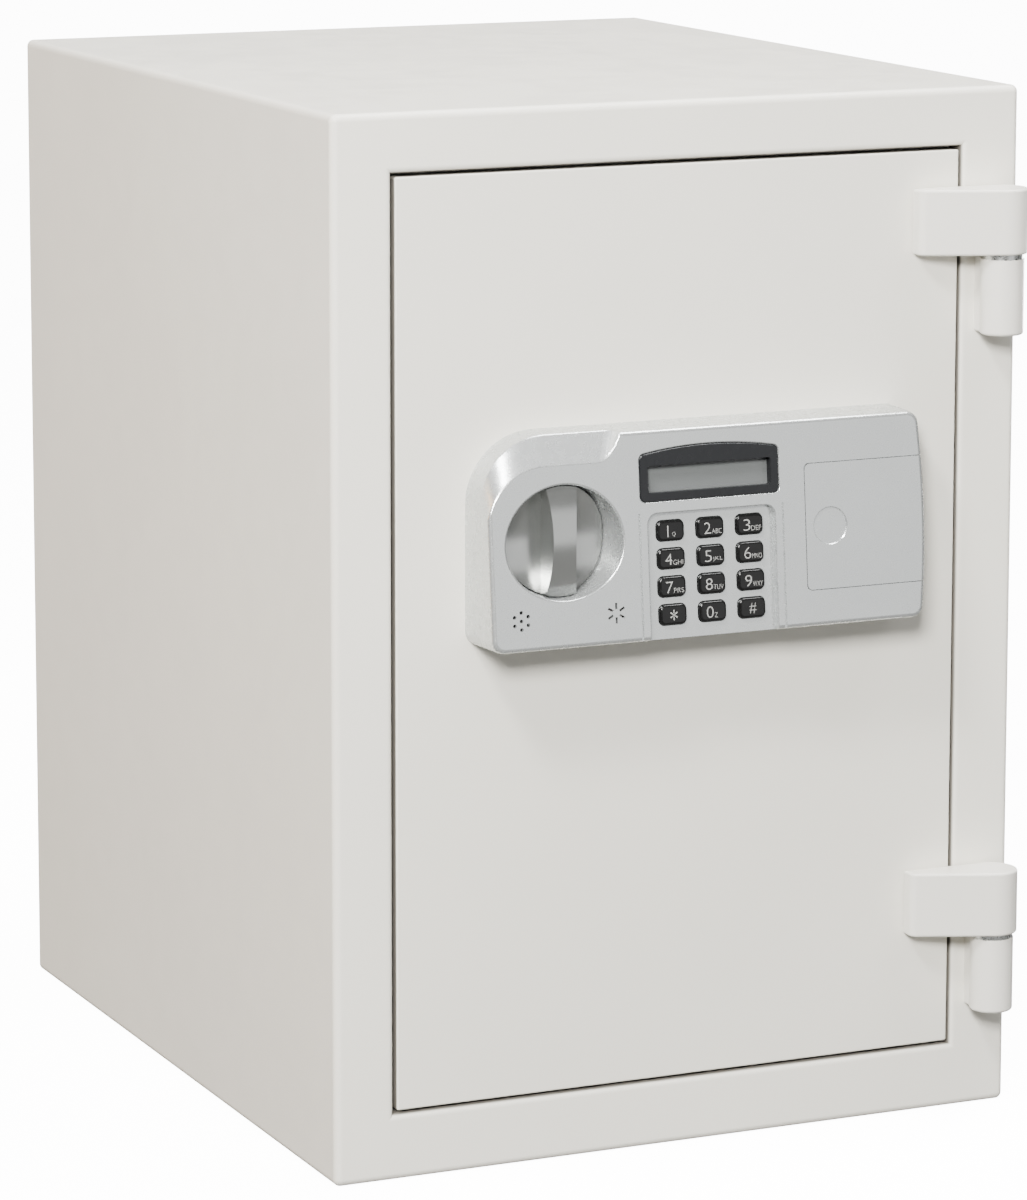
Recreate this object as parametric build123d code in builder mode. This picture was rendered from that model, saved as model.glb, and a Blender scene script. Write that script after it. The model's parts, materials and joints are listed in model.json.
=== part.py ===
from build123d import *
from math import atan, cos, radians, sin
import os

# Small fire safe: a steel cabinet with a filled double wall, a hinged plug door,
# and a keypad panel whose knob drives the bolts. Millimetres, +Z up, front to -Y,
# origin at the centre of the cabinet's underside.

os.makedirs("parts", exist_ok=True)

# ---------------------------------------------------------------- driving sizes

width, depth, height = 360.0, 426.0, 508.0
sheet = 1.5                      # cabinet and door sheet steel
edge_radius = 3.5                # rounded outer edges of the cabinet
lip_radius = 3.0                 # rounded inner edge of the front frame

front = -depth / 2
back = depth / 2
half_width = width / 2

opening_x = (-150.0, 148.5)      # doorway in the front frame
opening_z = (32.5, 479.5)
door_gap = 1.6
step_depth = 14.0                # front frame face to the rebate's shoulder
shoulder = front + step_depth
throat_x = (-140.0, 139.0)       # narrower part of the rebate, behind the shoulder
throat_z = (43.0, 469.5)
throat_back = -150.0

liner_x = (-120.0, 120.0)        # usable inside
liner_z = (60.0, 448.0)
liner_back = 148.0
liner_wall = 2.0
shelf_height = 250.0

panel_sheet_gap = 1.0            # back panel stands in from the rear rim

door_x = (opening_x[0] + door_gap, opening_x[1] - door_gap)
door_z = (opening_z[0] + door_gap, opening_z[1] - door_gap)
step_back = front + 11.5         # back of the door's outer pan
pan_sheet = 1.2
plug_x = (-131.0, 136.0)         # plug of the door, with swing room on the left
plug_z = (46.5, 466.0)
plug_back = -161.0
cover_thickness = 2.5

chamber_x = (plug_x[0] + pan_sheet, -8.0)   # lock chamber in the back of the door
chamber_z = (150.0, 400.0)
chamber_front = -188.0

bolt_radius = 8.0
bolt_y = -176.0
live_bolt_heights = (196.0, 370.0)
dead_bolt_heights = (150.0, 362.0)
bolt_throw = 14.0
bolt_clearance = 0.08

pivot_x, pivot_y = 164.5, front - 13.0
pin_radius = 4.0
running_clearance = 0.05
strap_radius = 12.2              # round end of the strap, about the pivot
strap_left = 121.8
strap_thin = 8.5                 # how far the strap's thin end stands off the door
strap_lean = radians(22.6)       # its front face runs outward from there to the round end
strap_height = 32.0
washer_thickness = 2.5
washer_radius = 10.2
barrel_radius = 10.6
barrel_height = 37.0
strap_bottoms = {"upper": 428.2, "lower": 91.2}

knob_x, knob_z = -74.0, 306.0
knob_radius = 26.2
spindle_radius = 5.0

# Keypad panel: a box whose face leans back towards the top.
panel_left, panel_right = -113.4, 114.8
panel_bulge = 117.6
panel_bottom, panel_top = 255.4, 356.3
panel_centre_z = 306.0
face_slope = 0.09                # loss of depth per unit of height
face_depth = 26.4                # depth at the panel's centre
panel_wall = 2.4
panel_draft = 2.0
big_corner, small_corner = 34.0, 7.0

face_tilt = atan(face_slope)
face = Plane(
    origin=(0, front - face_depth, panel_centre_z),
    x_dir=(1, 0, 0),
    z_dir=(0, -cos(face_tilt), sin(face_tilt)),
)

keypad_x = 2.5
key_pitch_x, key_pitch_y = 20.8, 13.27
key_size = (14.2, 9.8)
key_top_row = 1.6                # height of the top row on the face
key_travel = 1.2
key_proud = -1.6                 # key tops, just under the panel's face
recess_depth = 3.4
recess_width = 66.8
recess_top = 10.3

lcd_x, lcd_y = 2.0, 26.5
lcd_window = (64.6, 12.9)

cover_left = 52.2                # battery cover
cover_low, cover_high = -32.0, 28.3
cover_gap = 0.4
cover_lip = 9.0
cover_skin = 1.8

cell_radius, cell_length = 7.1, 50.0


# ------------------------------------------------------------------- helpers

def block(x, y, z, mode=Mode.ADD):
    """A box between two values on each axis."""
    with Locations(((x[0] + x[1]) / 2, (y[0] + y[1]) / 2, (z[0] + z[1]) / 2)):
        Box(x[1] - x[0], y[1] - y[0], z[1] - z[0], mode=mode)


def rod(axis, radius, start, stop, across, mode=Mode.ADD):
    """A round rod along one axis; across holds the other two coordinates."""
    middle = (start + stop) / 2
    spots = {
        "x": ((middle, across[0], across[1]), (0, 90, 0)),
        "y": ((across[0], middle, across[1]), (90, 0, 0)),
        "z": ((across[0], across[1], middle), (0, 0, 0)),
    }
    spot, turn = spots[axis]
    with Locations(spot):
        Cylinder(radius, stop - start, rotation=turn, mode=mode)


def grow(span, amount):
    """A span made longer by the same amount at both ends."""
    return (span[0] - amount, span[1] + amount)


def finish(piece, name):
    """Label a piece and write its STEP file."""
    piece.part.label = name
    export_step(piece.part, f"parts/{name}.step")


# ------------------------------------------------------------------- cabinet

with BuildPart() as outer_shell:
    block((-half_width, half_width), (front, back), (0, height))
    fillet(outer_shell.edges().filter_by(lambda e: e.center().Y < back - 1), edge_radius)
    block(
        (-half_width + sheet, half_width - sheet),
        (front + sheet, back + 1),
        (sheet, height - sheet),
        Mode.SUBTRACT,
    )
    block(grow(opening_x, sheet), (front + sheet, shoulder), grow(opening_z, sheet))
    block(opening_x, (front - 1, shoulder + 1), opening_z, Mode.SUBTRACT)
    lip = outer_shell.edges().filter_by_position(Axis.Y, front - 0.01, front + 0.01)
    lip = lip.filter_by(
        lambda e: opening_x[0] - 1 < e.center().X < opening_x[1] + 1
        and opening_z[0] - 1 < e.center().Z < opening_z[1] + 1
    )
    fillet(lip, lip_radius)
finish(outer_shell, "outer_shell")

panel_rear = back - panel_sheet_gap
with BuildPart() as back_panel:
    block(
        (-half_width + sheet, half_width - sheet),
        (panel_rear - sheet, panel_rear),
        (sheet, height - sheet),
    )
    block((-120, 120), (panel_rear - 0.5, panel_rear + 0.8), (90, 420))
    raised = back_panel.faces().sort_by(Axis.Y)[-1]
    chamfer(raised.edges(), 0.7)
finish(back_panel, "back_panel")


def pocket_space(side):
    """Span in X and Y of the room that a bolt needs behind the jamb."""
    if side == "left":
        return (throat_x[0] - sheet - 11.0, throat_x[0] - sheet), (bolt_y - 10.5, bolt_y + 10.5)
    return (throat_x[1] + sheet, throat_x[1] + sheet + 9.0), (bolt_y - 17.0, bolt_y + 10.5)


pockets = [("left", z) for z in live_bolt_heights] + [("right", z) for z in dead_bolt_heights]

with BuildPart() as insulation_fill:
    block(
        (-half_width + sheet, half_width - sheet),
        (front + sheet, panel_rear - sheet),
        (sheet, height - sheet),
    )
    block(grow(opening_x, sheet), (front, shoulder + sheet), grow(opening_z, sheet), Mode.SUBTRACT)
    block(
        grow(throat_x, sheet), (shoulder, throat_back + liner_wall),
        grow(throat_z, sheet), Mode.SUBTRACT,
    )
    block(
        grow(liner_x, liner_wall), (throat_back, liner_back + liner_wall),
        grow(liner_z, liner_wall), Mode.SUBTRACT,
    )
    for side, z in pockets:
        reach, span = pocket_space(side)
        block(grow(reach, sheet), grow(span, sheet), (z - 12, z + 12), Mode.SUBTRACT)
finish(insulation_fill, "insulation_fill")

with BuildPart() as door_jamb:
    block(grow(opening_x, sheet), (shoulder, shoulder + sheet), grow(opening_z, sheet))
    block(grow(throat_x, sheet), (shoulder, throat_back), grow(throat_z, sheet))
    block(throat_x, (shoulder - 1, throat_back + 1), throat_z, Mode.SUBTRACT)
    for side, z in pockets:
        reach, span = pocket_space(side)
        if side == "left":
            rod("x", bolt_radius + 1.0, reach[1] - 1, throat_x[0] + 1, (bolt_y, z), Mode.SUBTRACT)
        else:
            block((throat_x[1] - 1, reach[0] + 1), (span[0], span[1] - 1), (z - 9.2, z + 9.2),
                  Mode.SUBTRACT)
finish(door_jamb, "door_jamb")

with BuildPart() as strike_pockets:
    for side, z in pockets:
        reach, span = pocket_space(side)
        closed = (reach[0] - sheet, reach[1]) if side == "left" else (reach[0], reach[1] + sheet)
        block(closed, grow(span, sheet), (z - 12, z + 12))
    for side, z in pockets:
        reach, span = pocket_space(side)
        block(reach, span, (z - 10.5, z + 10.5), Mode.SUBTRACT)
finish(strike_pockets, "strike_pockets")

rail_length = (-120.0, 140.0)
rail_depth = 5.0
with BuildPart() as liner_room:
    block(liner_x, (throat_back - 1, liner_back), liner_z)
    fillet(liner_room.edges().filter_by(lambda e: e.center().Y > throat_back), 8.0)

with BuildPart() as inner_liner:
    block(grow(liner_x, liner_wall), (throat_back, liner_back + liner_wall), grow(liner_z, liner_wall))
    block(grow(throat_x, sheet), (throat_back, throat_back + liner_wall), grow(throat_z, sheet))
    add(liner_room.part, mode=Mode.SUBTRACT)
    for side in (-1, 1):
        for rail_z in (shelf_height - 3.0, shelf_height + 5.0):
            wall = side * liner_x[1]
            rail_x = tuple(sorted((wall, wall - side * rail_depth)))
            block(rail_x, rail_length, (rail_z - 1.5, rail_z + 1.5))
finish(inner_liner, "inner_liner")

with BuildPart() as shelf:
    shelf_x = (liner_x[0] + 1.5, liner_x[1] - 1.5)
    shelf_y = (-118.0, 138.0)
    block(shelf_x, shelf_y, (shelf_height - 1.5, shelf_height - 0.3))
    block((shelf_x[0] + 6, shelf_x[1] - 6), (shelf_y[0], shelf_y[0] + 1.2),
          (shelf_height - 13.0, shelf_height - 0.3))
    fillet(shelf.edges().filter_by(Axis.X).group_by(Axis.Y)[0].sort_by(Axis.Z)[-1], 0.8)
finish(shelf, "shelf")

for place, strap_bottom in strap_bottoms.items():
    barrel_top = strap_bottom - washer_thickness
    barrel_bottom = barrel_top - barrel_height
    with BuildPart() as hinge_knuckle:
        rod("z", barrel_radius, barrel_bottom, barrel_top, (pivot_x, pivot_y))
        block((pivot_x - 8.0, pivot_x + 8.0), (pivot_y, front), (barrel_bottom, barrel_top))
        fillet(hinge_knuckle.edges().group_by(Axis.Z)[0].filter_by(lambda e: e.center().Y < front - 1), 1.6)
        rod("z", pin_radius + running_clearance, barrel_bottom + 6, barrel_top + 1,
            (pivot_x, pivot_y), Mode.SUBTRACT)
    finish(hinge_knuckle, f"hinge_knuckle_{place}")

    with BuildPart() as hinge_pin:
        rod("z", pin_radius, barrel_bottom + 6, strap_bottom + 22, (pivot_x, pivot_y))
        chamfer(hinge_pin.edges().group_by(Axis.Z)[-1], 0.8)
    finish(hinge_pin, f"hinge_pin_{place}")

with BuildPart() as hinge_washers:
    for strap_bottom in strap_bottoms.values():
        rod("z", washer_radius, strap_bottom - washer_thickness, strap_bottom - 0.1, (pivot_x, pivot_y))
    for strap_bottom in strap_bottoms.values():
        rod("z", pin_radius + running_clearance, strap_bottom - washer_thickness - 1, strap_bottom,
            (pivot_x, pivot_y), Mode.SUBTRACT)
finish(hinge_washers, "hinge_washers")

# ---------------------------------------------------------------------- door

spindle_hole = spindle_radius + 1.5
lead_x, lead_z = -15.0, 300.0
lead_radius = 1.4

with BuildPart() as door_skin:
    block(door_x, (front, step_back), door_z)
    fillet(door_skin.edges().filter_by(lambda e: e.center().Y < step_back - 0.1), 0.9)
    block(grow(door_x, -sheet), (front + sheet, step_back + 1), grow(door_z, -sheet), Mode.SUBTRACT)
    rod("y", spindle_hole, front - 1, front + 3, (knob_x, knob_z), Mode.SUBTRACT)
    rod("y", lead_radius + 1.6, front - 1, front + 3, (lead_x, lead_z), Mode.SUBTRACT)
finish(door_skin, "door_skin")

with BuildPart() as door_rear_pan:
    block(door_x, (step_back, step_back + pan_sheet), door_z)
    block(plug_x, (step_back, plug_back), plug_z)
    block(grow(plug_x, -pan_sheet), (step_back - 1, plug_back + 1), grow(plug_z, -pan_sheet),
          Mode.SUBTRACT)
    for z in live_bolt_heights:
        rod("x", bolt_radius + bolt_clearance, plug_x[0] - 1, plug_x[0] + 3, (bolt_y, z), Mode.SUBTRACT)
    for z in dead_bolt_heights:
        rod("x", bolt_radius + bolt_clearance, plug_x[1] - 3, plug_x[1] + 1, (bolt_y, z), Mode.SUBTRACT)
finish(door_rear_pan, "door_rear_pan")

screw_columns = {plug_x[0] + 8.0: (58.0, 130.0, 454.5), plug_x[1] - 8.0: (58.0, 256.25, 454.5)}
screw_spots = [(x, z) for x, heights in screw_columns.items() for z in heights]
screw_length = 12.0

with BuildPart() as door_fill:
    block(grow(door_x, -sheet), (front + sheet, step_back), grow(door_z, -sheet))
    block(grow(plug_x, -pan_sheet), (step_back, plug_back), grow(plug_z, -pan_sheet))
    block(chamber_x, (chamber_front, plug_back + 1), chamber_z, Mode.SUBTRACT)
    rod("y", spindle_hole, front, chamber_front + 1, (knob_x, knob_z), Mode.SUBTRACT)
    rod("y", lead_radius + 1.6, front, chamber_front + 1, (lead_x, lead_z), Mode.SUBTRACT)
    for z in dead_bolt_heights:
        rod("x", bolt_radius + bolt_clearance, 112, plug_x[1], (bolt_y, z), Mode.SUBTRACT)
    for x, z in screw_spots:
        rod("y", 2.1, plug_back - screw_length, plug_back + 1, (x, z), Mode.SUBTRACT)
finish(door_fill, "door_fill")

seal_y = (step_back + pan_sheet, shoulder - 0.3)
with BuildPart() as door_seal:
    block(grow(throat_x, 7.2), seal_y, grow(throat_z, 8.0))
    block((throat_x[0] + 2.0, throat_x[1] - 2.0), (seal_y[0] - 1, seal_y[1] + 1), grow(throat_z, -2.0),
          Mode.SUBTRACT)
finish(door_seal, "door_seal")

with BuildPart() as door_inner_cover:
    block(plug_x, (plug_back, plug_back + cover_thickness), plug_z)
    block(grow(plug_x, -22.0), (plug_back + 1, plug_back + 6.0), grow(plug_z, -22.0))
    cover_field = door_inner_cover.faces().sort_by(Axis.Y)[-1]
    fillet(cover_field.edges(), 2.4)
    block(grow(plug_x, -25.0), (plug_back - 1, plug_back + 3.8), grow(plug_z, -25.0), Mode.SUBTRACT)
    for x, z in screw_spots:
        rod("y", 2.1, plug_back - 1, plug_back + 5, (x, z), Mode.SUBTRACT)
finish(door_inner_cover, "door_inner_cover")

with BuildPart() as cover_screws:
    head_start = plug_back + cover_thickness
    for x, z in screw_spots:
        rod("y", 2.0, plug_back - screw_length, head_start, (x, z))
        rod("y", 3.9, head_start, head_start + 2.2, (x, z))
    fillet(cover_screws.edges().filter_by(GeomType.CIRCLE).group_by(Axis.Y)[-1], 1.2)
    for x, z in screw_spots:
        slot_y = (head_start + 1.2, head_start + 3)
        block((x - 2.2, x + 2.2), slot_y, (z - 0.4, z + 0.4), Mode.SUBTRACT)
        block((x - 0.4, x + 0.4), slot_y, (z - 2.2, z + 2.2), Mode.SUBTRACT)
finish(cover_screws, "cover_screws")

strap_back = pivot_y + strap_radius
strap_nose = front - strap_thin
meet = (pivot_x - strap_radius * sin(strap_lean), pivot_y - strap_radius * cos(strap_lean))
for place, strap_bottom in strap_bottoms.items():
    with BuildPart() as hinge_strap:
        with BuildSketch(Plane.XY.offset(strap_bottom)) as strap_plan:
            with BuildLine():
                Polyline((pivot_x, strap_back), (strap_left, strap_back), (strap_left, strap_nose), meet)
                ThreePointArc(meet, (pivot_x + strap_radius, pivot_y), (pivot_x, strap_back))
            make_face()
            fillet(strap_plan.vertices().sort_by_distance((strap_left, strap_nose, strap_bottom))[0], 4.5)
        extrude(amount=strap_height)
        rims = hinge_strap.edges().group_by(Axis.Z)
        fillet(rims[0].filter_by(lambda e: e.center().Y < strap_back - 1)
               + rims[-1].filter_by(lambda e: e.center().Y < strap_back - 1), 1.3)
        block((strap_left + 3, opening_x[1] - 4), (strap_back, front),
              (strap_bottom + 2, strap_bottom + strap_height - 2))
        rod("z", 5.6, strap_bottom - 1, strap_bottom + 23, (pivot_x, pivot_y), Mode.SUBTRACT)
    finish(hinge_strap, f"hinge_strap_{place}")

with BuildPart() as hinge_bushes:
    for strap_bottom in strap_bottoms.values():
        rod("z", 5.55, strap_bottom + 0.1, strap_bottom + 22.9, (pivot_x, pivot_y))
    for strap_bottom in strap_bottoms.values():
        rod("z", pin_radius + running_clearance, strap_bottom - 1, strap_bottom + 22.5,
            (pivot_x, pivot_y), Mode.SUBTRACT)
finish(hinge_bushes, "hinge_bushes")

# ------------------------------------------------------------------ boltwork

cam_y = (-184.5, -180.5)
arm_y = (-179.0, -176.0)
crank_radius = bolt_throw / 2 / sin(radians(45))
crank_pin_radius = 2.5
slot_play = 0.45
plunger_radius = 2.4
plunger_y = -182.6
cam_radius = 16.0
plunger_travel = 5.0

with BuildPart() as lock_plate:
    block((chamber_x[0] + 2, chamber_x[1] - 2), (chamber_front, chamber_front + sheet),
          (chamber_z[0] + 4, chamber_z[1] - 4))
    rod("y", spindle_radius + 0.08, chamber_front - 1, chamber_front + 3, (knob_x, knob_z), Mode.SUBTRACT)
    rod("y", lead_radius + 1.6, chamber_front - 1, chamber_front + 3, (lead_x, lead_z), Mode.SUBTRACT)
    for z in (chamber_z[0] + 14, chamber_z[1] - 14):
        for x in (chamber_x[0] + 12, chamber_x[1] - 12):
            rod("y", 2.2, chamber_front - 1, chamber_front + 3, (x, z), Mode.SUBTRACT)
finish(lock_plate, "lock_plate")

bar_x = (-109.0, -105.0)         # carriage bar with the bolts drawn in
bolt_tip = -134.0
arm_z = (286.0, 326.0)
arm_right = -62.0
with BuildPart() as bolt_carriage:
    block(bar_x, (-183.5, -166.5), (live_bolt_heights[0] - 14, live_bolt_heights[1] + 14))
    block((bar_x[1] - 2, arm_right), arm_y, arm_z)
    crank_x = knob_x + bolt_throw / 2
    slot_half = crank_pin_radius + slot_play
    block((crank_x - slot_half, crank_x + slot_half), grow(arm_y, 1),
          (knob_z - crank_radius - slot_half, knob_z - bolt_throw / 2 + slot_half), Mode.SUBTRACT)
    fillet(bolt_carriage.edges().filter_by(Axis.Y).filter_by(lambda e: e.center().X > arm_right - 0.1), 3.0)
finish(bolt_carriage, "bolt_carriage")

with BuildPart() as live_bolts:
    for z in live_bolt_heights:
        rod("x", bolt_radius, bolt_tip, bar_x[0], (bolt_y, z))
    chamfer(live_bolts.edges().filter_by(GeomType.CIRCLE).group_by(Axis.X)[0], 1.5)
finish(live_bolts, "live_bolts")

with BuildPart() as bolt_guides:
    for low, high in ((arm_z[0] - 8.3, arm_z[0] - 0.3), (arm_z[1] + 0.3, arm_z[1] + 8.3)):
        block((-92, -78), (chamber_front + sheet, arm_y[1] + 3), (low, high))
finish(bolt_guides, "bolt_guides")

with BuildPart() as dead_bolts:
    for z in dead_bolt_heights:
        rod("x", bolt_radius, 112, 145, (bolt_y, z))
    chamfer(dead_bolts.edges().filter_by(GeomType.CIRCLE).group_by(Axis.X)[-1], 2.0)
finish(dead_bolts, "dead_bolts")

with BuildPart() as locking_cam:
    rod("y", cam_radius, *cam_y, (knob_x, knob_z))
    rod("y", spindle_radius, cam_y[0] - 1, cam_y[1] + 1, (knob_x, knob_z), Mode.SUBTRACT)
    notch_half = plunger_radius + 0.5
    notch_floor = cam_radius - plunger_travel
    block((knob_x + notch_floor, knob_x + cam_radius + 1), grow(cam_y, 1),
          (knob_z - notch_half, knob_z + notch_half), Mode.SUBTRACT)
    block((knob_x - notch_half, knob_x + notch_half), grow(cam_y, 1),
          (knob_z + notch_floor, knob_z + cam_radius + 1), Mode.SUBTRACT)
    rod("y", crank_pin_radius, cam_y[0], arm_y[1] + 1.0,
        (crank_x, knob_z - bolt_throw / 2))
finish(locking_cam, "locking_cam")

plunger_tip = knob_x + cam_radius + 0.6
solenoid_x = (plunger_tip + 8.0, plunger_tip + 32.0)
with BuildPart() as solenoid_plunger:
    rod("x", plunger_radius, plunger_tip, solenoid_x[0] + 16.0, (plunger_y, knob_z))
    chamfer(solenoid_plunger.edges().filter_by(GeomType.CIRCLE).group_by(Axis.X)[0], 0.6)
finish(solenoid_plunger, "solenoid_plunger")

with BuildPart() as solenoid:
    block(solenoid_x, (chamber_front + sheet, chamber_front + sheet + 17.0), (knob_z - 9, knob_z + 9))
    fillet(solenoid.edges().filter_by(Axis.X), 1.5)
    rod("x", plunger_radius + 0.08, solenoid_x[0] - 1, solenoid_x[0] + 22.5, (plunger_y, knob_z),
        Mode.SUBTRACT)
finish(solenoid, "solenoid")

# ---------------------------------------------------------------------- knob

knob_height = 15.0               # crown of the knob above the floor of its scoops
disc_front = front - face_depth + knob_height
disc_back = disc_front + 4.0
dome_rise = 5.0
dome_radius = (knob_radius ** 2 + dome_rise ** 2) / (2 * dome_rise)
scoop_radius = 62.0              # hollow beside the bar
bar_end, bar_waist = 8.2, 5.8    # half widths of the bar


def knob_scoop(side):
    """The hollow beside the knob's bar, on one side."""
    reach = knob_radius + 1.0
    outer = knob_x + side * (knob_radius + 6.0)
    rise = (knob_x + side * bar_end, knob_z + reach)
    fall = (knob_x + side * bar_end, knob_z - reach)
    with BuildPart() as scoop:
        with BuildSketch(Plane.XZ.offset(-disc_back)):
            with BuildLine():
                ThreePointArc(rise, (knob_x + side * bar_waist, knob_z), fall)
                Polyline(fall, (outer, knob_z - reach), (outer, knob_z + reach), rise)
            make_face()
        extrude(amount=40)
        rod("x", scoop_radius, knob_x - 40, knob_x + 40, (disc_front - scoop_radius, knob_z),
            Mode.INTERSECT)
    return scoop.part


with BuildPart() as knob:
    rod("y", knob_radius, disc_front - knob_height, disc_back, (knob_x, knob_z))
    rod("x", dome_radius, knob_x - 40, knob_x + 40, (disc_front - knob_height + dome_radius, knob_z),
        Mode.INTERSECT)
    for side in (-1, 1):
        add(knob_scoop(side), mode=Mode.SUBTRACT)
finish(knob, "knob")

with BuildPart() as knob_spindle:
    rod("y", spindle_radius, disc_back, cam_y[1], (knob_x, knob_z))
finish(knob_spindle, "knob_spindle")

with BuildPart() as spindle_clip:
    rod("y", 8.0, chamber_front + sheet + 0.2, chamber_front + sheet + 1.2, (knob_x, knob_z))
    rod("y", spindle_radius, chamber_front, chamber_front + 5, (knob_x, knob_z), Mode.SUBTRACT)
    block((knob_x - 3.2, knob_x + 3.2), (chamber_front, chamber_front + 5), (knob_z - 12, knob_z),
          Mode.SUBTRACT)
finish(spindle_clip, "spindle_clip")

# -------------------------------------------------------------- keypad panel

outward = Axis(face.origin, face.z_dir)


def panel_outline(inset):
    """The panel's outline on the door, drawn in by an inset."""
    left, right = panel_left + inset, panel_right - inset
    low, high = panel_bottom + inset, panel_top - inset
    with BuildSketch(Plane.XZ.offset(-front)) as outline:
        with BuildLine():
            end = ThreePointArc((right, low), (panel_bulge - inset, (low + high) / 2), (right, high))
            Polyline(end @ 1, (left, high), (left, low), end @ 0)
        make_face()
        fillet(outline.vertices().sort_by_distance((left, high, 0))[0], big_corner - inset)
        for corner in ((left, low), (right, low), (right, high)):
            fillet(outline.vertices().sort_by_distance((*corner, 0))[0], small_corner - inset)
    return outline.sketch


def panel_form(inset, rim):
    """The panel as a solid wedge: drafted walls, sloping face, rounded rim."""
    with BuildPart() as form:
        extrude(panel_outline(inset), amount=45, taper=panel_draft)
        split(bisect_by=face.offset(-inset), keep=Keep.BOTTOM)
        fillet(form.faces().sort_by(outward)[-1].edges(), rim)
    return form.part


def on_face(x, y, size, depth, corner, mode=Mode.ADD):
    """A rounded block standing on the face plane between two depths."""
    with BuildSketch(face.offset(depth[0])) as outline:
        with Locations((x, y)):
            RectangleRounded(*size, corner)
    extrude(outline.sketch, amount=depth[1] - depth[0], mode=mode)


def cover_zone(skin, gap):
    """The part of the panel's skin that the battery cover takes up."""
    with BuildPart() as zone:
        add(panel_form(0.0, 2.2))
        on_face((cover_left - gap + 160) / 2, (cover_low + cover_high) / 2,
                (160 - cover_left + gap, cover_high - cover_low + 2 * gap),
                (-cover_lip - gap, 5.0), 2.6, Mode.INTERSECT)
        add(panel_form(skin, 1.2), mode=Mode.SUBTRACT)
    return zone.part


def lcd_outline(inset):
    """Display bezel: straight sides and a shallow arch along the top."""
    half, low, shoulder_y, crown = 36.6 - inset, 15.8 + inset, 38.4 - inset, 41.8 - inset
    with BuildSketch(face) as outline:
        with BuildLine():
            arch = ThreePointArc((lcd_x - half, shoulder_y), (lcd_x, crown), (lcd_x + half, shoulder_y))
            Polyline(arch @ 1, (lcd_x + half, low), (lcd_x - half, low), arch @ 0)
        make_face()
        fillet(outline.vertices(), 3.0 - inset)
    return outline.sketch


# The scallop at the top left: everything outside a form that runs from a larger
# outline, halfway back, to a smaller one on the face.
scallop_depth = 13.6
scallop_end = -51.5
scallop_step = 28.9              # corner radius of the outline on the face
bend_x, bend_top = -84.0, 35.2   # where that corner starts

with BuildPart() as kept_form:
    with BuildSketch(Plane.XZ.offset(scallop_depth - front)) as deep_outline:
        with BuildLine():
            run = Line((-36, panel_top - 0.1), (panel_left + big_corner, panel_top - 0.1))
            bend = RadiusArc(run @ 1, (panel_left - 0.1, panel_top - big_corner), -big_corner - 0.1)
            Polyline(bend @ 1, (panel_left - 0.1, 240), (-36, 240), run @ 0)
        make_face()
    with BuildSketch(face.offset(0.6)) as face_outline:
        with BuildLine():
            run = Line((-36, bend_top), (bend_x, bend_top))
            bend = RadiusArc(run @ 1, (bend_x - scallop_step, bend_top - scallop_step), -scallop_step)
            Polyline(bend @ 1, (bend_x - scallop_step, -66), (-36, -66), run @ 0)
        make_face()
    loft([deep_outline.sketch, face_outline.sketch], ruled=True)

with BuildPart() as scallop:
    with BuildSketch(Plane.XZ.offset(scallop_depth - front)):
        with BuildLine():
            Polyline((scallop_end, 300), (scallop_end, 341), (scallop_end + 9.5, 359.5),
                     (scallop_end + 9.5, 380), (-130, 380), (-130, 300), (scallop_end, 300))
        make_face()
    extrude(amount=50)
    add(kept_form.part, mode=Mode.SUBTRACT)
    inside_corner = scallop.edges().sort_by_distance((scallop_end + 3, front - 19, 347))[0]
    fillet(inside_corner, 5.0)

dish_rim = Plane.XZ.offset(-(front - face_depth))
with BuildPart() as dish:
    with BuildSketch(Plane.XZ.offset(-disc_front)):
        with Locations((knob_x, knob_z)):
            Circle(knob_radius + 0.5)
    with BuildSketch(dish_rim):
        with Locations((knob_x, knob_z)):
            Ellipse(30.3, 26.95)
    loft()
    with BuildSketch(dish_rim):
        with Locations((knob_x, knob_z)):
            Ellipse(30.3, 26.95)
    extrude(amount=8)
    rod("y", knob_radius + 0.5, disc_front, disc_back + 0.6, (knob_x, knob_z))

recess_middle = (recess_top - 60) / 2
recess_size = (recess_width, recess_top + 60)
with BuildPart() as dish_boss:
    with BuildSketch(Plane.XZ.offset(-(disc_back + panel_wall))):
        with Locations((knob_x, knob_z)):
            Ellipse(32.4, 29.0)
    extrude(amount=30)

# Screws from the door side hold the housing by its posts.
plate_thickness = 2.0
head_height = 1.2
screw_posts = [(-106.5, 278.0), (-20.0, 350.0), (104.0, 262.5), (104.0, 349.0)]

with BuildPart() as panel_room:
    add(panel_form(panel_wall, 0.8))
    for x, z in screw_posts:
        rod("y", 3.6, front - 40, front - plate_thickness, (x, z), Mode.SUBTRACT)
    add(dish_boss.part, mode=Mode.SUBTRACT)
    add(Pos(2.0, 3.2, -2.0) * scallop.part, mode=Mode.SUBTRACT)
    on_face(keypad_x, recess_middle, (recess_width + 4, recess_size[1] + 4), (-recess_depth - 2, 5), 6,
            Mode.SUBTRACT)
    on_face(lcd_x, 28.9, (78, 30), (-3.6, 5), 3, Mode.SUBTRACT)
    on_face((cover_left + 160) / 2 - 3, (cover_low + cover_high) / 2, (160 - cover_left, 66), (-4, 5), 3,
            Mode.SUBTRACT)

vent_y = -34.9
vent_radius = 0.9
speaker_x, star_x = -97.7, -48.9
groove_left, groove_right = -35.4, 40.0


def face_edges(piece, x, z, longer_than=0.0):
    """Edges of the panel's flat face whose centres lie in two spans."""
    flat = piece.faces().filter_by(GeomType.PLANE).group_by(outward)[-1]
    edges = ShapeList(edge for part in flat for edge in part.edges())
    return edges.filter_by(
        lambda e: x[0] < e.center().X < x[1] and z[0] < e.center().Z < z[1] and e.length > longer_than
    )


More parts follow.
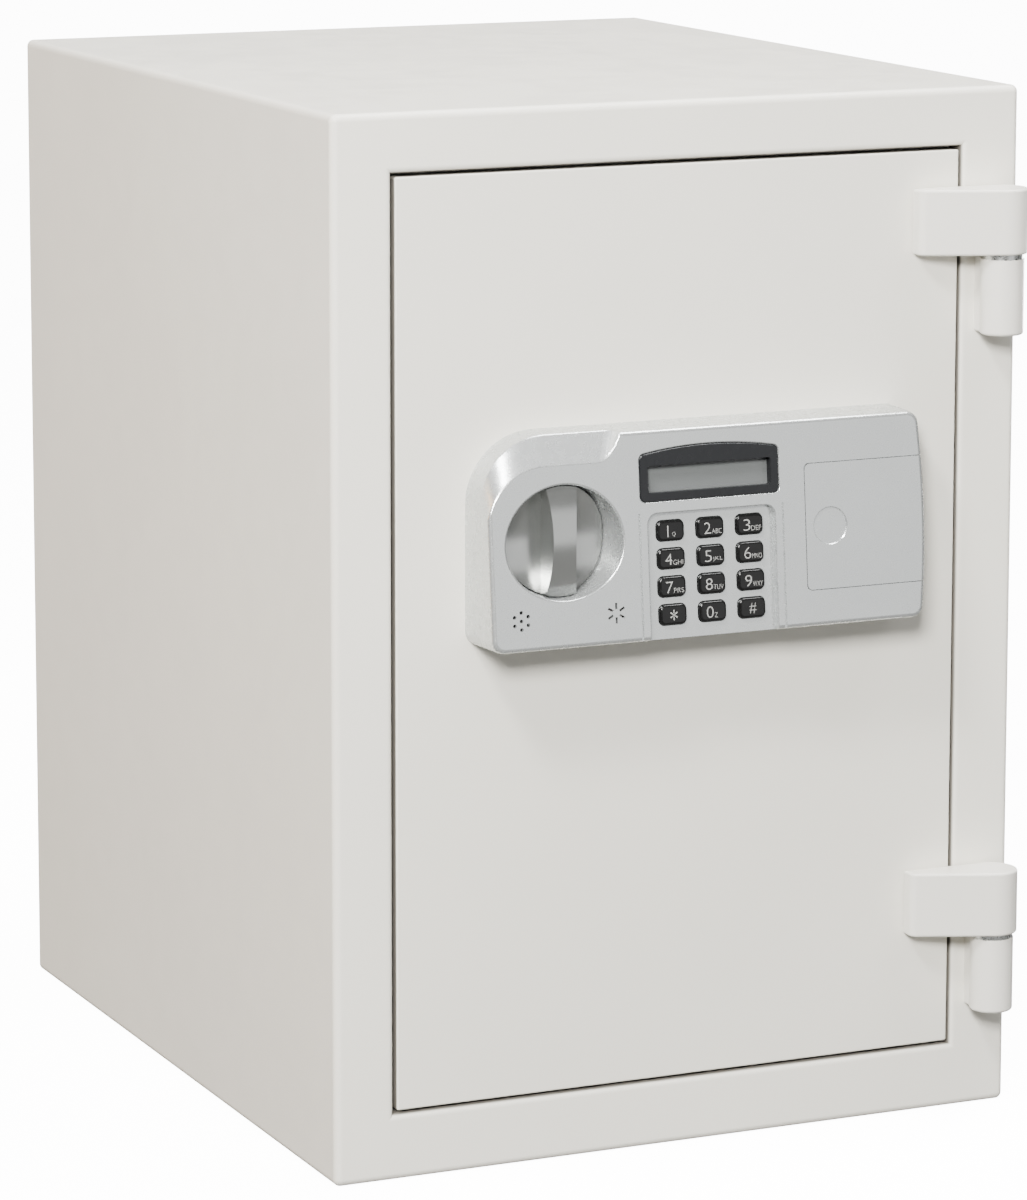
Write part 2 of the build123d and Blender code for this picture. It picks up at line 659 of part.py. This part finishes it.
with BuildPart() as panel_housing:
    add(panel_form(0.0, 2.2))
    add(scallop.part, mode=Mode.SUBTRACT)
    add(dish.part, mode=Mode.SUBTRACT)
    fillet(face_edges(panel_housing, (knob_x - 2, knob_x + 2), (275, 336), 80), 1.0)
    fillet(face_edges(panel_housing, (-103, -44), (333, 353)), 1.2)
    on_face(keypad_x, recess_middle, recess_size, (-recess_depth, 5), 5, Mode.SUBTRACT)
    extrude(lcd_outline(0.0), amount=-1.6, mode=Mode.SUBTRACT)
    for groove_x in (groove_left, groove_right):
        on_face(groove_x, recess_middle, (1.1, recess_size[1] + 1), (-0.8, 1), 0.5, Mode.SUBTRACT)
    around_display = face_edges(panel_housing, (-37, 41.5), (318.5, 350))
    around_keys = face_edges(panel_housing, (-32, 37), (259.5, 317.5))
    fillet(around_display + around_keys, 0.6)
    add(panel_room.part, mode=Mode.SUBTRACT)
    rod("y", spindle_radius + 0.3, disc_back, front, (knob_x, knob_z), Mode.SUBTRACT)
    on_face(lcd_x, lcd_y, (lcd_window[0] + 3.4, lcd_window[1] + 3.4), (-8, 1), 1.5, Mode.SUBTRACT)
    for row in range(4):
        for column in (-1, 0, 1):
            on_face(keypad_x + column * key_pitch_x, key_top_row - row * key_pitch_y,
                    (key_size[0] + 0.6, key_size[1] + 0.6), (-8, 1), 3.0, Mode.SUBTRACT)
    with Locations(face):
        with Locations((speaker_x, vent_y, -1.5)):
            Cylinder(vent_radius, 6, mode=Mode.SUBTRACT)
            with PolarLocations(4.0, 6, start_angle=30):
                Cylinder(vent_radius, 6, mode=Mode.SUBTRACT)
        with Locations((star_x, vent_y, -1.5)):
            with PolarLocations(3.4, 6, start_angle=30):
                Box(2.9, 1.1, 6, mode=Mode.SUBTRACT)
    for x, z in screw_posts:
        rod("y", 1.55, front - 9, front, (x, z), Mode.SUBTRACT)
    add(cover_zone(cover_skin + 0.2, cover_gap), mode=Mode.SUBTRACT)
    on_face(82.3, -1.85, (52.6, 58.4), (-30, 1), 1, Mode.SUBTRACT)
finish(panel_housing, "panel_housing")

thumb_radius, thumb_depth = 8.7, 0.65
with BuildPart() as battery_cover:
    add(cover_zone(cover_skin, 0.0))
    with Locations(face):
        with Locations((65.2, -1.9, 0)):
            Cylinder(thumb_radius, 2 * thumb_depth, mode=Mode.SUBTRACT)
    thumb_rim = battery_cover.edges().filter_by(GeomType.CIRCLE).sort_by(SortBy.RADIUS)
    thumb_rim = thumb_rim.filter_by(lambda e: abs(e.radius - thumb_radius) < 0.01)
    chamfer(thumb_rim.sort_by(outward)[-1], 0.4)
finish(battery_cover, "battery_cover")

with BuildPart() as panel_backplate:
    extrude(panel_outline(panel_wall + 0.3), amount=plate_thickness)
    rod("y", spindle_hole, front - 3, front + 1, (knob_x, knob_z), Mode.SUBTRACT)
    rod("y", lead_radius + 1.6, front - 3, front + 1, (lead_x, lead_z), Mode.SUBTRACT)
    for x, z in screw_posts:
        rod("y", 1.8, front - 3, front + 1, (x, z), Mode.SUBTRACT)
        rod("y", 3.3, front - head_height, front + 1, (x, z), Mode.SUBTRACT)
finish(panel_backplate, "panel_backplate")

bezel_floor = -1.6
with BuildPart() as lcd_bezel:
    extrude(lcd_outline(0.15), amount=bezel_floor)
    rim = lcd_bezel.faces().sort_by(outward)[-1]
    chamfer(rim.edges(), 0.5)
    on_face(lcd_x, lcd_y, (lcd_window[0] + 3.0, lcd_window[1] + 3.0), (-4.2, bezel_floor), 1.4)
    on_face(lcd_x, lcd_y, lcd_window, (-6, 1), 0.8, Mode.SUBTRACT)
finish(lcd_bezel, "lcd_bezel")

with BuildPart() as lcd_lens:
    on_face(lcd_x, lcd_y, (lcd_window[0] + 2.6, lcd_window[1] + 2.6), (-5.3, -4.2), 0.8)
finish(lcd_lens, "lcd_lens")

board_face = -9.0                # front of the circuit board, behind the panel's face
with BuildPart() as lcd_module:
    on_face(lcd_x, lcd_y, (68, 19), (board_face, -5.4), 0.8)
finish(lcd_module, "lcd_module")

with BuildPart() as circuit_board:
    on_face(lcd_x, -3.0, (72, 84), (board_face - 1.6, board_face), 2.0)
finish(circuit_board, "circuit_board")

keys_middle = key_top_row - 1.5 * key_pitch_y
mat_top = board_face + 1.2
key_foot = mat_top + key_travel + 0.15
with BuildPart() as keypad_mat:
    on_face(keypad_x, keys_middle, (62, 54), (board_face, mat_top), 3.0)
finish(keypad_mat, "keypad_mat")

key_names = ("1", "2", "3", "4", "5", "6", "7", "8", "9", "star", "0", "hash")
for index, key_name in enumerate(key_names):
    row, column = divmod(index, 3)
    key_x = keypad_x + (column - 1) * key_pitch_x
    key_y = key_top_row - row * key_pitch_y
    with BuildPart() as key:
        on_face(key_x, key_y, (key_size[0] + 1.6, key_size[1] + 1.6), (key_foot, key_foot + 0.95), 2.8)
        on_face(key_x, key_y, key_size, (key_foot + 0.95, key_proud), 2.8)
        fillet(key.faces().sort_by(outward)[-1].edges(), 1.3)
    finish(key, f"key_{key_name}")

tray_floor = -16.8
tray_y, tray_x = (-31.2, 27.5), (56.2, 108.4)
tray_size = (tray_x[1] - tray_x[0], tray_y[1] - tray_y[0])
tray_middle = (sum(tray_x) / 2, sum(tray_y) / 2)
with BuildPart() as battery_tray:
    on_face(*tray_middle, (tray_size[0] + 2.6, tray_size[1] + 2.6), (tray_floor - 1.3, -4.1), 1.5)
    on_face(*tray_middle, tray_size, (tray_floor, 0), 0.6, Mode.SUBTRACT)
finish(battery_tray, "battery_tray")

cell_rows = [tray_middle[1] + (row - 1.5) * 14.5 for row in range(4)]
cell_start, cell_end = tray_x[0] + 1.8, tray_x[0] + 1.8 + cell_length - 1
cell_depth = tray_floor + cell_radius + 0.05
with BuildPart() as battery_cells:
    with Locations(face):
        for row, cell_y in enumerate(cell_rows):
            with Locations(((cell_start + cell_end) / 2, cell_y, cell_depth)):
                Cylinder(cell_radius, cell_end - cell_start, rotation=(0, 90, 0))
            nub_x = cell_end + 0.4 if row % 2 == 0 else cell_start - 0.4
            with Locations((nub_x, cell_y, cell_depth)):
                Cylinder(2.6, 0.8, rotation=(0, 90, 0))
finish(battery_cells, "battery_cells")

with BuildPart() as battery_contacts:
    with Locations(face):
        for cell_y in cell_rows:
            for contact_x in (tray_x[0] + 0.25, tray_x[1] - 0.25):
                with Locations((contact_x, cell_y, cell_depth)):
                    Box(0.5, 9.0, 9.0)
finish(battery_contacts, "battery_contacts")

with BuildPart() as buzzer:
    with Locations(face):
        with Locations((speaker_x, vent_y, -4.6)):
            Cylinder(5.6, 4.0)
finish(buzzer, "buzzer")

with BuildPart() as status_led:
    with Locations(face):
        with Locations((star_x, vent_y, -4.6)):
            Cylinder(4.6, 4.0)
finish(status_led, "status_led")

lead_end = (solenoid_x[1], -178.0, lead_z)
with BuildPart() as solenoid_lead:
    with BuildLine() as route:
        FilletPolyline((lead_x, front - 16.0, lead_z), (lead_x, -178.0, lead_z), lead_end, radius=4.5)
    with BuildSketch(Plane(origin=route.line @ 0, z_dir=route.line % 0)):
        Circle(lead_radius)
    sweep()
finish(solenoid_lead, "solenoid_lead")

with BuildPart() as panel_screws:
    for x, z in screw_posts:
        rod("y", 1.5, front - 8.0, front - head_height, (x, z))
        rod("y", 3.2, front - head_height, front - 0.1, (x, z))
finish(panel_screws, "panel_screws")
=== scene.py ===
import json
import math

import bpy
from mathutils import Matrix, Vector


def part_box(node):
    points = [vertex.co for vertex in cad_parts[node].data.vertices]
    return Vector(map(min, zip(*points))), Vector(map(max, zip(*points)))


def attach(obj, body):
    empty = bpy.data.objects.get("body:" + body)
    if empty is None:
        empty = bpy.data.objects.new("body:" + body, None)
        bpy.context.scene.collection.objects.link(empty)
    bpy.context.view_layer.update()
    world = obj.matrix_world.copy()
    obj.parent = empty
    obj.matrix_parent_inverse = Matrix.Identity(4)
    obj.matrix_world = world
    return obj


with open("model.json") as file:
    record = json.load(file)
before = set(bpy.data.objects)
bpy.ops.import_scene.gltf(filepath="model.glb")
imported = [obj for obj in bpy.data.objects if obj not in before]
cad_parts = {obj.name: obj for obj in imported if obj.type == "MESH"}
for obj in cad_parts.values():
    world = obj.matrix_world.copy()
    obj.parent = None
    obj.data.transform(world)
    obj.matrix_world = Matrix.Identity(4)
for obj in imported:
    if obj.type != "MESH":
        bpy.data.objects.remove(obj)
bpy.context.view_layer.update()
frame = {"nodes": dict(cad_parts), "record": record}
nodes = frame["nodes"]

# --------------------------------------------------------------- materials


def srgb(r, g, b):
    """A display colour as linear light."""
    return tuple((c / 12.92 if c <= 0.04045 else ((c + 0.055) / 1.055) ** 2.4)
                 for c in (r / 255, g / 255, b / 255))


MILLIMETRE = 0.001

# The middle part of a noise texture's values, where nearly all of them lie.
NOISE_SPAN = (0.35, 0.65)

# The colour sockets of a mix node, by place.
MIX_FACTOR, MIX_A, MIX_B, MIX_RESULT = 0, 6, 7, 2


class Shader:
    """A Principled material with a few node helpers; positions are in metres."""

    def __init__(self, name, color, rough, metal=0.0, spec=0.5, coat=0.0, coat_rough=0.1):
        self.mat = bpy.data.materials.new(name)
        self.mat.use_nodes = True
        self.tree = self.mat.node_tree
        self.bsdf = self.tree.nodes["Principled BSDF"]
        self.place = self.node("ShaderNodeTexCoord").outputs["Object"]
        self.set("Base Color", (*color, 1.0))
        self.set("Roughness", rough)
        self.set("Metallic", metal)
        self.set("Specular IOR Level", spec)
        self.set("Coat Weight", coat)
        self.set("Coat Roughness", coat_rough)
        self.color = color
        self.normal = None

    def node(self, kind, **values):
        made = self.tree.nodes.new(kind)
        for key, value in values.items():
            setattr(made, key, value)
        return made

    def set(self, socket, value):
        self.bsdf.inputs[socket].default_value = value

    def link(self, a, b):
        self.tree.links.new(a, b)

    def noise(self, scale, detail=3.0, rough=0.55):
        """Soft noise from 0 to 1; the scale is in cycles per metre."""
        made = self.node("ShaderNodeTexNoise")
        made.inputs["Scale"].default_value = scale
        made.inputs["Detail"].default_value = detail
        made.inputs["Roughness"].default_value = rough
        self.link(self.place, made.inputs["Vector"])
        return made.outputs["Fac"]

    def cells(self, scale):
        """Small rounded cells, so many to the metre."""
        made = self.node("ShaderNodeTexVoronoi", feature="F1")
        made.inputs["Scale"].default_value = scale
        self.link(self.place, made.inputs["Vector"])
        return made.outputs["Distance"]

    def remap(self, value, low, high, to_low, to_high):
        """Carries a value from one span to another, held at its ends."""
        made = self.node("ShaderNodeMapRange")
        for key, number in zip(("From Min", "From Max", "To Min", "To Max"),
                               (low, high, to_low, to_high)):
            made.inputs[key].default_value = number
        self.link(value, made.inputs["Value"])
        return made.outputs[0]

    def mix(self, fac, a, b):
        """Goes from colour a to colour b with a value; either may be an output."""
        made = self.node("ShaderNodeMix", data_type="RGBA")
        self.link(fac, made.inputs[MIX_FACTOR])
        for socket, value in ((made.inputs[MIX_A], a), (made.inputs[MIX_B], b)):
            if isinstance(value, tuple):
                socket.default_value = (*value, 1.0)
            else:
                self.link(value, socket)
        return made.outputs[MIX_RESULT]

    def tint(self, value, amount):
        """Lets a value lighten and darken the colour a little."""
        dark = tuple(c * (1 - amount) for c in self.color)
        light = tuple(min(1.0, c * (1 + amount)) for c in self.color)
        out = self.mix(self.remap(value, *NOISE_SPAN, 0, 1), dark, light)
        self.link(out, self.bsdf.inputs["Base Color"])
        return out

    def within(self, spans):
        """1 inside a box given by its spans on the axes, fading over a millimetre."""
        axes = self.node("ShaderNodeSeparateXYZ")
        self.link(self.place, axes.inputs[0])
        inside = None
        for axis, (low, high) in zip("XYZ", spans):
            for edge, turned in ((low, 1), (high, -1)):
                side = self.remap(axes.outputs[axis], edge, edge + turned * MILLIMETRE, 0, 1)
                if inside is None:
                    inside = side
                    continue
                both = self.node("ShaderNodeMath", operation="MULTIPLY")
                self.link(inside, both.inputs[0])
                self.link(side, both.inputs[1])
                inside = both.outputs[0]
        return inside

    def gloss(self, value, low, high):
        """Lets a value move the roughness between two limits."""
        self.link(self.remap(value, *NOISE_SPAN, low, high), self.bsdf.inputs["Roughness"])

    def bump(self, height, strength, distance):
        """Adds relief to what is there; the distance is its depth in metres."""
        made = self.node("ShaderNodeBump")
        made.inputs["Strength"].default_value = strength
        made.inputs["Distance"].default_value = distance
        self.link(height, made.inputs["Height"])
        if self.normal is not None:
            self.link(self.normal, made.inputs["Normal"])
        self.normal = made.outputs[0]
        self.link(self.normal, self.bsdf.inputs["Normal"])


# Painted shade: a grey-brown laid on the paint in the gap round the door.
GAP_SHADE = srgb(112, 108, 101)
# Painted shade: near-black laid inside the panel's small holes.
HOLE_SHADE = srgb(30, 30, 30)


def powder_coat(name, color, rough=0.42, peel=0.35, gap=None):
    """Textured powder coat: fine orange peel, faint mottling, painted shade down in a gap."""
    s = Shader(name, color, rough, spec=0.45)
    coat = s.tint(s.noise(9, 4), 0.012)
    if gap:
        # Painted shade: the paint is darkened inside the gap, where shade falls between the
        # parts.
        gap_shade = s.within(gap)
        s.link(s.mix(gap_shade, coat, GAP_SHADE), s.bsdf.inputs["Base Color"])
    s.gloss(s.noise(60, 3), rough - 0.05, rough + 0.06)
    s.bump(s.noise(1500, 3, 0.6), peel, 0.00012)
    s.bump(s.noise(420, 2, 0.5), peel * 0.7, 0.00018)
    return s.mat


def metallic_paint(name, color, rough=0.34, metal=0.45, holes=()):
    """Silver paint on plastic: fine flake, slight mottling, painted shade down in small holes."""
    s = Shader(name, color, rough, metal=metal, spec=0.5)
    coat = s.tint(s.noise(35, 3), 0.012)
    # Painted shade: each hole's box is darkened, where shade falls down in the hole.
    for spans in holes:
        coat = s.mix(s.within(spans), coat, HOLE_SHADE)
        s.link(coat, s.bsdf.inputs["Base Color"])
    s.gloss(s.noise(240, 3), rough - 0.01, rough + 0.012)
    s.bump(s.cells(2600), 0.008, 0.00003)
    return s.mat


def plated(name, color, rough=0.25):
    """Bare or plated metal with a fine grain."""
    s = Shader(name, color, rough, metal=1.0)
    s.tint(s.noise(90, 3), 0.05)
    s.gloss(s.noise(700, 3, 0.6), rough - 0.06, rough + 0.10)
    s.bump(s.noise(1800, 2, 0.6), 0.15, 0.00005)
    return s.mat


def plastic(name, color, rough=0.45, grain=0.25, spec=0.5, coat=0.0):
    """Moulded plastic or rubber with a fine moulded grain."""
    s = Shader(name, color, rough, spec=spec, coat=coat, coat_rough=0.08)
    s.tint(s.noise(30, 3), 0.04)
    s.gloss(s.noise(300, 3), rough - 0.04, rough + 0.06)
    s.bump(s.cells(1700), grain, 0.00008)
    return s.mat


def mineral(name, color):
    """Cast filling: matt, mottled and pitted."""
    s = Shader(name, color, 0.9, spec=0.2)
    s.tint(s.noise(40, 6, 0.7), 0.14)
    s.bump(s.noise(300, 5, 0.7), 0.6, 0.0008)
    s.bump(s.cells(160), 0.4, 0.0012)
    return s.mat


def clear(name, color, alpha, rough=0.06):
    """A tinted clear cover."""
    s = Shader(name, color, rough, spec=0.5)
    s.set("Alpha", alpha)
    s.gloss(s.noise(80, 2), rough, rough + 0.05)
    return s.mat


# The gap round the door: behind the faces, inside the doorway, where the paint is darkened as
# painted shade.
door_gap = ((-0.152, 0.151), (-0.2124, -0.2), (0.0305, 0.4815))

# Below the panel's face at the speaker holes and at the star of slots, where painted shade
# darkens the holes.
vent_middles = (-0.0977, -0.0489)
vent_reach = 0.007
vent_holes = [((x - vent_reach, x + vent_reach), (-0.2416, -0.22), (0.264, 0.2785))
              for x in vent_middles]

looks = {
    "cabinet_paint": powder_coat("cabinet_paint", srgb(229, 226, 216), gap=door_gap),
    "door_paint": powder_coat("door_paint", srgb(225, 222, 212), gap=door_gap),
    "hinge_paint": powder_coat("hinge_paint", srgb(221, 218, 210), 0.36, 0.2),
    "liner_paint": powder_coat("liner_paint", srgb(182, 181, 176), 0.55, 0.3),
    "cement_fill": mineral("cement_fill", srgb(190, 187, 178)),
    "zinc_steel": plated("zinc_steel", srgb(205, 207, 205), 0.28),
    "bolt_chrome": plated("bolt_chrome", srgb(222, 222, 222), 0.14),
    "bush_brass": plated("bush_brass", srgb(205, 172, 104), 0.3),
    "seal_foam": plastic("seal_foam", srgb(52, 52, 52), 0.85, 0.6, 0.2),
    "inner_cover_plastic": plastic("inner_cover_plastic", srgb(92, 92, 90), 0.55, 0.5),
    "guide_plastic": plastic("guide_plastic", srgb(44, 44, 45), 0.5, 0.3),
    "solenoid_case": plastic("solenoid_case", srgb(56, 60, 82), 0.45),
    "knob_plastic": metallic_paint("knob_plastic", srgb(176, 178, 176), 0.2, 0.92),
    "panel_plastic": metallic_paint("panel_plastic", srgb(200, 203, 203), 0.27, 0.76, vent_holes),
    "bezel_plastic": plastic("bezel_plastic", srgb(22, 23, 25), 0.3, 0.04, 0.35),
    "lens_clear": clear("lens_clear", srgb(120, 124, 124), 0.25),
    "lcd_glass": plastic("lcd_glass", srgb(96, 98, 98), 0.3, 0.02),
    "board": plastic("board", srgb(28, 82, 48), 0.4, 0.3),
    "mat_rubber": plastic("mat_rubber", srgb(40, 40, 41), 0.7, 0.2),
    "cell_jacket": plastic("cell_jacket", srgb(58, 74, 122), 0.25, 0.05, 0.5, 0.4),
    "contact_metal": plated("contact_metal", srgb(214, 208, 196), 0.22),
    "buzzer_plastic": plastic("buzzer_plastic", srgb(24, 24, 25), 0.5, 0.2),
    "led_plastic": plastic("led_plastic", srgb(30, 10, 10), 0.2, 0.05),
    "lead_plastic": plastic("lead_plastic", srgb(150, 36, 30), 0.4, 0.1),
    "key_plastic": plastic("key_plastic", srgb(10, 10, 10), 0.22, 0.02, 0.35, 0.1),
    "legend_ink": plastic("legend_ink", srgb(150, 150, 148), 0.5, 0.05),
}

slot_of = {p["node"]: p["material_slot"] for p in frame["record"]["subparts"]}
for name, obj in nodes.items():
    obj.data.materials.clear()
    obj.data.materials.append(looks[slot_of[name]])

# ----------------------------------------------------------- key legends

# The panel's face leans back, and the ink lies on the keys' tops. Sizes are in metres.
panel_slope = 0.09
ink_lift = 0.00003
type_size = 0.01
legend_foot = -0.0028
digit_fit = (0.0036, 0.0054, -0.0018)  # width, height, and shift across
sign_fits = {"*": (0.0052, 0.0050, 0.0), "#": (0.0046, 0.0050, 0.0)}
letter_pitch = 0.0017
letter_margin = 0.0002
letter_height = 0.0023
letters_left = 0.0004
digit_thin = 0.00015
letters_thin = 0.00012

tilt = math.atan(panel_slope)
outward = Vector((0, -math.cos(tilt), math.sin(tilt)))
upward = Vector((0, math.sin(tilt), math.cos(tilt)))

legends = {
    "1": "Q", "2": "ABC", "3": "DEF", "4": "GHI", "5": "JKL", "6": "MNO",
    "7": "PRS", "8": "TUV", "9": "WXY", "0": "Z", "star": "", "hash": "",
}
marks = {"star": "*", "hash": "#"}


def printed(name, text, middle, across, foot, wide, tall, body, thin):
    """Prints a mark on a key's top, fitted to a width and a height, as flat ink."""
    curve = bpy.data.curves.new(name, "FONT")
    curve.body = text
    curve.size = type_size
    curve.resolution_u = 4
    curve.offset = -thin
    obj = bpy.data.objects.new(name, curve)
    bpy.context.scene.collection.objects.link(obj)
    bpy.context.view_layer.update()
    flat = bpy.data.meshes.new_from_object(obj)
    bpy.data.objects.remove(obj)
    xs = [v.co.x for v in flat.vertices]
    ys = [v.co.y for v in flat.vertices]
    if text in sign_fits:
        foot = -tall / 2
    scale_x = min(wide, tall * 0.75 * len(text)) / (max(xs) - min(xs))
    scale_y = tall / (max(ys) - min(ys))
    if text == "1":
        scale_x = scale_y * 0.9
    centre_x = (max(xs) + min(xs)) / 2
    for v in flat.vertices:
        x = across + (v.co.x - centre_x) * scale_x
        y = foot + (v.co.y - min(ys)) * scale_y
        v.co = middle + Vector((x, 0, 0)) + upward * y + outward * ink_lift
    flat.name = name
    ink = bpy.data.objects.new(name, flat)
    bpy.context.scene.collection.objects.link(ink)
    flat.materials.clear()
    flat.materials.append(looks["legend_ink"])
    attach(ink, body)


for key, letters in legends.items():
    node = f"key_{key}"
    low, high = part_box(node)
    top = max(v.co.dot(outward) for v in nodes[node].data.vertices)
    middle = (low + high) / 2
    middle += outward * (top - middle.dot(outward))
    body = f"button_{key}"
    digit = marks.get(key, key)
    wide, tall, across = sign_fits.get(digit, digit_fit)
    thin = 0.0 if digit == "*" else digit_thin
    printed(f"legend_{key}", digit, middle, across, legend_foot, wide, tall, body, thin)
    if letters:
        wide = letter_pitch * len(letters) + letter_margin
        across = letters_left + wide / 2
        printed(f"letters_{key}", letters, middle, across, legend_foot,
                wide, letter_height, body, letters_thin)

# --------------------------------------------------------- floor and light

# The stage shines by itself, so that it comes out as white as the photo's background.
stage_reach = 9
backdrop_distance = 4
stage_look = Shader("floor_look", (0.9, 0.9, 0.9), 0.9, spec=0.1)
stage_look.tint(stage_look.noise(2, 2), 0.004)
stage_look.set("Emission Color", (1.0, 1.0, 1.0, 1.0))
stage_look.set("Emission Strength", 12.0)


def stage_sheet(name, corners):
    """A flat white sheet that the camera sees and that throws no light on the part."""
    mesh = bpy.data.meshes.new(name)
    mesh.from_pydata(corners, [], [(0, 1, 2, 3)])
    mesh.materials.append(stage_look.mat)
    sheet = bpy.data.objects.new(name, mesh)
    bpy.context.scene.collection.objects.link(sheet)
    sheet.visible_diffuse = False
    sheet.visible_glossy = False
    return sheet


r, d = stage_reach, backdrop_distance
floor = stage_sheet("floor", [(-r, -r, 0), (r, -r, 0), (r, r, 0), (-r, r, 0)])

# A sheet standing behind the object carries the floor's white up the picture.
wall = stage_sheet("backdrop", [(-r, d, 0), (r, d, 0), (r, d, r), (-r, d, r)])

# The surroundings are pale above and below, with a dark band at the horizon, which gives
# the sides and the silver panel their contrast.

world = bpy.data.worlds.new("studio")
world.use_nodes = True
sky = world.node_tree
around = sky.nodes.new("ShaderNodeTexCoord").outputs["Generated"]
split = sky.nodes.new("ShaderNodeSeparateXYZ")
sky.links.new(around, split.inputs[0])
ramp = sky.nodes.new("ShaderNodeValToRGB")
ramp.color_ramp.elements[0].position = 0.0
ramp.color_ramp.elements[0].color = (0.46, 0.45, 0.43, 1)
ramp.color_ramp.elements[1].position = 1.0
ramp.color_ramp.elements[1].color = (0.7, 0.7, 0.69, 1)
band_levels = ((0.42, 0.3), (0.5, 0.1), (0.62, 0.16))  # place from nadir to zenith, and level
for position, level in band_levels:
    stop = ramp.color_ramp.elements.new(position)
    stop.color = (level, level, level * 0.98, 1)
height = sky.nodes.new("ShaderNodeMapRange")
height.inputs["From Min"].default_value = -1.0
sky.links.new(split.outputs["Z"], height.inputs["Value"])
sky.links.new(height.outputs[0], ramp.inputs[0])
sky.links.new(ramp.outputs[0], sky.nodes["Background"].inputs["Color"])
bpy.context.scene.world = world


def softbox(name, place, aim, size, power, color=(1, 1, 1)):
    """A rectangular area light; metres and watts."""
    light = bpy.data.lights.new(name, "AREA")
    light.shape = "RECTANGLE"
    light.size, light.size_y = size
    light.energy = power
    light.color = color
    obj = bpy.data.objects.new(name, light)
    bpy.context.scene.collection.objects.link(obj)
    obj.location = place
    obj.rotation_euler = (Vector(aim) - Vector(place)).to_track_quat("-Z", "Y").to_euler()


softbox("key_light", (-1.32, -2.4, 1.52), (0, -0.2, 0.3), (0.7, 0.6), 190, (1.0, 0.985, 0.955))
softbox("top_light", (0.75, -0.2, 2.3), (0, 0, 0.4), (1.0, 0.9), 80)
softbox("accent_light", (-1.1, -1.0, 1.9), (-0.05, -0.24, 0.33), (0.35, 0.35), 58)
softbox("face_fill", (1.05, -2.6, 0.35), (0, -0.2, 0.3), (1.6, 1.2), 7)
softbox("back_light", (2.4, 1.3, 0.2), (0, 0.1, 0.25), (1.2, 0.6), 40)
softbox("side_light", (-2.2, 0.4, 0.9), (0, 0, 0.25), (0.6, 1.4), 14, (1.0, 0.58, 0.24))

# ------------------------------------------------------------------ camera

# The camera comes from a fit to the cabinet's corners in the photo.
photo_tall = 1200
focal_pixels = 5172.942581215931
sensor = 36
centre_rise = 200
camera_place = (-1.06799, -2.39043, 0.74902)
right = Vector((0.9120692327980237, -0.410034788961115, 0.001089231306136501))
down = Vector((-0.06321073878716263, -0.14322777405947018, -0.9876690777988093))
ahead = Vector((0.40513469005406766, 0.9007537269307206, -0.15655224794046008))
camera = bpy.data.cameras.new("camera")
camera.lens = focal_pixels * sensor / photo_tall
camera.sensor_width = sensor
camera.sensor_fit = "AUTO"
camera.shift_y = -centre_rise / photo_tall
camera.clip_end = 50
camera_obj = bpy.data.objects.new("camera", camera)
bpy.context.scene.collection.objects.link(camera_obj)
turn = Matrix((right, -down, -ahead)).transposed().to_4x4()
camera_obj.matrix_world = Matrix.Translation(camera_place) @ turn
bpy.context.scene.camera = camera_obj
